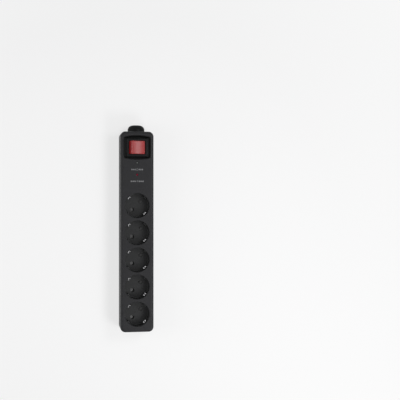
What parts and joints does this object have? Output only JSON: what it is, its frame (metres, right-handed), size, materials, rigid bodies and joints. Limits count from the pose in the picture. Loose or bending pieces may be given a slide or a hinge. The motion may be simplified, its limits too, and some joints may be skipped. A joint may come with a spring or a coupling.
{
  "type": "surge protector power strip",
  "caption": "Long black power strip with a row of deep round earthed sockets, a red rocker switch, indicator lamps and a cord gland, with a surge protection board inside.",
  "frame": {"origin": "centre of the back face's plane, in the middle of the whole length with the gland's neck", "axes": "+Z out of the socket face, +Y along the strip to the switch and cord end, +X across"},
  "size_m": [0.053, 0.331, 0.0443],
  "materials": {
    "housing_black": "fine moulded texture",
    "socket_black": "satin moulded",
    "gland_black": "smooth moulded",
    "switch_black": "polished",
    "rocker_red": "translucent polished red",
    "contact_brass": "stamped",
    "plated_steel": "nickel plated",
    "spring_steel": "drawn wire",
    "shutter_grey": "satin moulded",
    "lamp_glass": "clear",
    "led_clear": "clear cast resin",
    "led_red": "tinted cast resin",
    "board_green": "solder mask",
    "varistor_blue": "dipped epoxy",
    "capacitor_yellow": "moulded box",
    "nylon_white": "satin",
    "insulation_brown": "extruded",
    "insulation_blue": "extruded",
    "insulation_green_yellow": "extruded, two colours"
  },
  "bodies": {
    "housing": {"front_cover": "housing_black", "rear_cover": "housing_black", "case_screw_1": "plated_steel", "case_screw_2": "plated_steel", "case_screw_3": "plated_steel", "case_screw_4": "plated_steel", "case_screw_5": "plated_steel", "case_screw_6": "plated_steel", "cable_gland": "gland_black", "cord_clamp": "gland_black", "clamp_screw_1": "plated_steel", "clamp_screw_2": "plated_steel", "socket_insert_1": "socket_black", "shutter_spring_1": "spring_steel", "socket_insert_2": "socket_black", "shutter_spring_2": "spring_steel", "socket_insert_3": "socket_black", "shutter_spring_3": "spring_steel", "socket_insert_4": "socket_black", "shutter_spring_4": "spring_steel", "socket_insert_5": "socket_black", "shutter_spring_5": "spring_steel", "live_busbar": "contact_brass", "neutral_busbar": "contact_brass", "earth_rail": "plated_steel", "switch_housing": "switch_black", "switch_terminal_1": "contact_brass", "switch_terminal_2": "contact_brass", "switch_terminal_3": "contact_brass", "switch_terminal_4": "contact_brass", "circuit_board": "board_green", "varistor_1": "varistor_blue", "varistor_2": "varistor_blue", "varistor_3": "varistor_blue", "film_capacitor": "capacitor_yellow", "thermal_fuse": "nylon_white", "power_led": "led_clear", "surge_led": "led_red", "power_led_spacer": "nylon_white", "surge_led_spacer": "nylon_white", "live_lead": "insulation_brown", "neutral_lead": "insulation_blue", "board_live_lead": "insulation_brown", "board_neutral_lead": "insulation_blue", "board_earth_lead": "insulation_green_yellow"},
    "rocker": {"switch_rocker": "rocker_red", "neon_lamp": "lamp_glass", "rocker_plunger_1": "nylon_white", "rocker_plunger_2": "nylon_white", "plunger_spring_1": "spring_steel", "plunger_spring_2": "spring_steel"},
    "contacts": {"contact_blade_1": "contact_brass", "contact_blade_2": "contact_brass"},
    "pin_shutter_1": {"shutter_1": "shutter_grey"},
    "pin_shutter_2": {"shutter_2": "shutter_grey"},
    "pin_shutter_3": {"shutter_3": "shutter_grey"},
    "pin_shutter_4": {"shutter_4": "shutter_grey"},
    "pin_shutter_5": {"shutter_5": "shutter_grey"}
  },
  "joints": [
    {"name": "rocker_tilt", "type": "hinge", "parent": "housing", "child": "rocker", "pos_m": [0, 0.129, 0.0345], "axis": [0, 1, 0], "range_deg": [-24, 0]},
    {"name": "contact_tilt", "type": "hinge", "parent": "housing", "child": "contacts", "pos_m": [0, 0.129, 0.0232], "axis": [0, 1, 0], "range_deg": [0, 14.4]},
    {"name": "shutter_1_turn", "type": "hinge", "parent": "housing", "child": "pin_shutter_1", "pos_m": [0, 0.0362, 0.017], "axis": [0, 0, 1], "range_deg": [0, 42], "stiffness_Nm_per_rad": 0.0005, "deforming": ["shutter_spring_1"]},
    {"name": "shutter_2_turn", "type": "hinge", "parent": "housing", "child": "pin_shutter_2", "pos_m": [0, -0.007, 0.017], "axis": [0, 0, 1], "range_deg": [0, 42], "stiffness_Nm_per_rad": 0.0005, "deforming": ["shutter_spring_2"]},
    {"name": "shutter_3_turn", "type": "hinge", "parent": "housing", "child": "pin_shutter_3", "pos_m": [0, -0.0502, 0.017], "axis": [0, 0, 1], "range_deg": [0, 42], "stiffness_Nm_per_rad": 0.0005, "deforming": ["shutter_spring_3"]},
    {"name": "shutter_4_turn", "type": "hinge", "parent": "housing", "child": "pin_shutter_4", "pos_m": [0, -0.0934, 0.017], "axis": [0, 0, 1], "range_deg": [0, 42], "stiffness_Nm_per_rad": 0.0005, "deforming": ["shutter_spring_4"]},
    {"name": "shutter_5_turn", "type": "hinge", "parent": "housing", "child": "pin_shutter_5", "pos_m": [0, -0.1366, 0.017], "axis": [0, 0, 1], "range_deg": [0, 42], "stiffness_Nm_per_rad": 0.0005, "deforming": ["shutter_spring_5"]}
  ],
  "couplings": [
    {"joint": "contact_tilt", "follows": "rocker_tilt", "ratio": -0.6}
  ]
}
